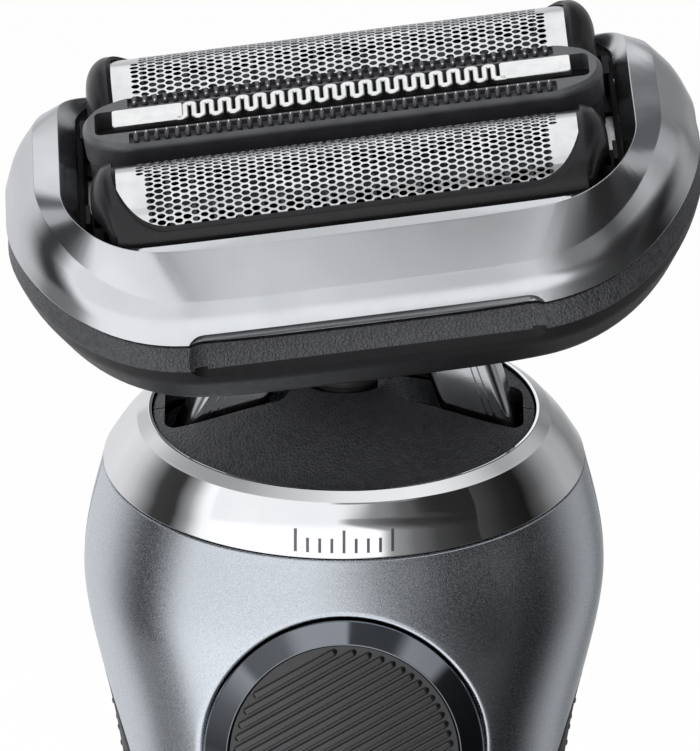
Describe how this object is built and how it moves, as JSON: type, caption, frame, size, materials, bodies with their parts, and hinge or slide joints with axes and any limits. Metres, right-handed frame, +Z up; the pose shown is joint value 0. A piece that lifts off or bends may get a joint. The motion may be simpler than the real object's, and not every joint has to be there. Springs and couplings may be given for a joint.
{
  "type": "foil shaver",
  "caption": "Cordless foil shaver with a tapered gripped handle and a floating head on swing arms, carrying arched foils beside a comb trimmer.",
  "frame": {"origin": "centre of the flat bottom of the handle, on which the shaver stands", "axes": "+Z up along the handle, -Y towards the side with the power button, +X to the right of someone who faces that side"},
  "size_m": [0.0624, 0.0451, 0.1611],
  "materials": {
    "painted_casing": "satin metallic",
    "rear_casing": "satin metallic",
    "grip_rubber": "matt with small dots",
    "black_plastic": "fine texture",
    "grained_plastic": "leather grain",
    "gloss_black": "high gloss",
    "polished_collar": "mirror",
    "satin_shroud": "satin",
    "boot_rubber": "matt",
    "light_chassis": "moulded",
    "cell_sleeve": "shrink sleeve",
    "contact_nickel": "nickel plated",
    "board_green": "solder mask",
    "chip_black": "moulded",
    "contact_gold": "gold plated",
    "clear_lens": "diffuse light pipe",
    "plated_steel": "zinc plated",
    "polished_steel": "polished",
    "dark_zamak": "dark coated die casting",
    "core_steel": "laminated",
    "coil_copper": "enamelled copper wire",
    "magnet_nickel": "nickel plated magnet",
    "carriage_plastic": "acetal",
    "foil_steel": "perforated foil",
    "blade_steel": "ground",
    "spring_steel": "spring wire"
  },
  "bodies": {
    "handle": {"front_shell": "painted_casing", "rear_cover": "rear_casing", "left_side_grip": "grip_rubber", "right_side_grip": "grip_rubber", "base_cap": "black_plastic", "collar_ring": "polished_collar", "neck_dome_front": "grained_plastic", "neck_dome_rear": "grained_plastic", "neck_boot": "boot_rubber", "neck_gasket": "boot_rubber", "button_bezel": "gloss_black", "button_seal": "boot_rubber", "chassis": "light_chassis", "battery_cell": "cell_sleeve", "battery_contacts": "contact_nickel", "circuit_board": "board_green", "board_parts": "chip_black", "tactile_switch": "chip_black", "charge_inlet": "black_plastic", "charge_pins": "contact_gold", "charge_light_lens": "clear_lens", "arm_bracket": "plated_steel", "arm_hinge_pins": "polished_steel", "neck_screws": "plated_steel", "base_screws": "plated_steel"},
    "power_button": {"power_button": "black_plastic"},
    "left_arm": {"left_swing_arm": "polished_steel"},
    "right_arm": {"right_swing_arm": "polished_steel"},
    "suspension": {"roll_frame": "dark_zamak", "arm_top_pins": "polished_steel", "tilt_pins": "polished_steel"},
    "head": {"head_base": "grained_plastic", "head_deck": "black_plastic", "motor_cores": "core_steel", "motor_coils": "coil_copper", "head_screws": "plated_steel", "cassette_catches": "spring_steel"},
    "drive": {"drive_carriage": "carriage_plastic", "drive_magnets": "magnet_nickel", "drive_pins": "polished_steel"},
    "cassette": {"shroud_ring": "satin_shroud", "cassette_frame": "black_plastic", "front_springs": "spring_steel", "rear_springs": "spring_steel", "trimmer_springs": "spring_steel"},
    "front_foil": {"front_foil_frame": "black_plastic", "front_foil": "foil_steel"},
    "rear_foil": {"rear_foil_frame": "black_plastic", "rear_foil": "foil_steel"},
    "trimmer": {"trimmer_body": "black_plastic", "trimmer_comb": "blade_steel"},
    "trimmer_blade": {"trimmer_blade": "blade_steel"},
    "front_cutter": {"front_cutter": "blade_steel"},
    "rear_cutter": {"rear_cutter": "blade_steel"}
  },
  "joints": [
    {"name": "button_press", "type": "slide", "parent": "handle", "child": "power_button", "axis": [0, 1, 0], "range_m": [0, 0.0008], "stiffness_N_per_m": 500},
    {"name": "head_roll", "type": "hinge", "parent": "handle", "child": "suspension", "pos_m": [0, -0.01026, 0.15254], "axis": [0, -1, 0], "range_deg": [-19.2, 4.8], "stiffness_Nm_per_rad": 1.2, "springref_deg": -7.2},
    {"name": "left_arm_swing", "type": "hinge", "parent": "handle", "child": "left_arm", "pos_m": [-0.0149, 0.00443, 0.11427], "axis": [0, -1, 0], "range_deg": [-3, 11]},
    {"name": "right_arm_swing", "type": "hinge", "parent": "handle", "child": "right_arm", "pos_m": [0.0149, 0.00443, 0.11427], "axis": [0, -1, 0], "range_deg": [-3, 11]},
    {"name": "head_tilt", "type": "hinge", "parent": "suspension", "child": "head", "pos_m": [0.00157, -0.00546, 0.14013], "axis": [0.9921, 0, 0.1253], "range_deg": [-15, 15], "stiffness_Nm_per_rad": 1.2},
    {"name": "drive_stroke", "type": "slide", "parent": "head", "child": "drive", "axis": [0.9921, 0, 0.1253], "range_m": [-0.0012, 0.0012], "stiffness_N_per_m": 300},
    {"name": "cassette_lift", "type": "slide", "parent": "head", "child": "cassette", "axis": [-0.117, -0.3584, 0.9262], "range_m": [0, 0.028]},
    {"name": "front_foil_float", "type": "slide", "parent": "cassette", "child": "front_foil", "axis": [-0.117, -0.3584, 0.9262], "range_m": [-0.001, 0], "stiffness_N_per_m": 400, "deforming": ["front_springs"]},
    {"name": "rear_foil_float", "type": "slide", "parent": "cassette", "child": "rear_foil", "axis": [-0.117, -0.3584, 0.9262], "range_m": [-0.001, 0], "stiffness_N_per_m": 400, "deforming": ["rear_springs"]},
    {"name": "trimmer_float", "type": "slide", "parent": "cassette", "child": "trimmer", "axis": [-0.117, -0.3584, 0.9262], "range_m": [-0.001, 0], "stiffness_N_per_m": 400, "deforming": ["trimmer_springs"]},
    {"name": "front_cutter_stroke", "type": "slide", "parent": "front_foil", "child": "front_cutter", "axis": [0.9921, 0, 0.1253], "range_m": [-0.0012, 0.0012]},
    {"name": "rear_cutter_stroke", "type": "slide", "parent": "rear_foil", "child": "rear_cutter", "axis": [0.9921, 0, 0.1253], "range_m": [-0.0012, 0.0012]},
    {"name": "trimmer_stroke", "type": "slide", "parent": "trimmer", "child": "trimmer_blade", "axis": [0.9921, 0, 0.1253], "range_m": [-0.0012, 0.0012]}
  ],
  "couplings": [
    {"joint": "left_arm_swing", "follows": "head_roll", "ratio": -0.51},
    {"joint": "right_arm_swing", "follows": "head_roll", "ratio": -0.51},
    {"joint": "front_cutter_stroke", "follows": "drive_stroke", "ratio": 1},
    {"joint": "rear_cutter_stroke", "follows": "drive_stroke", "ratio": 1},
    {"joint": "trimmer_stroke", "follows": "drive_stroke", "ratio": 1}
  ]
}
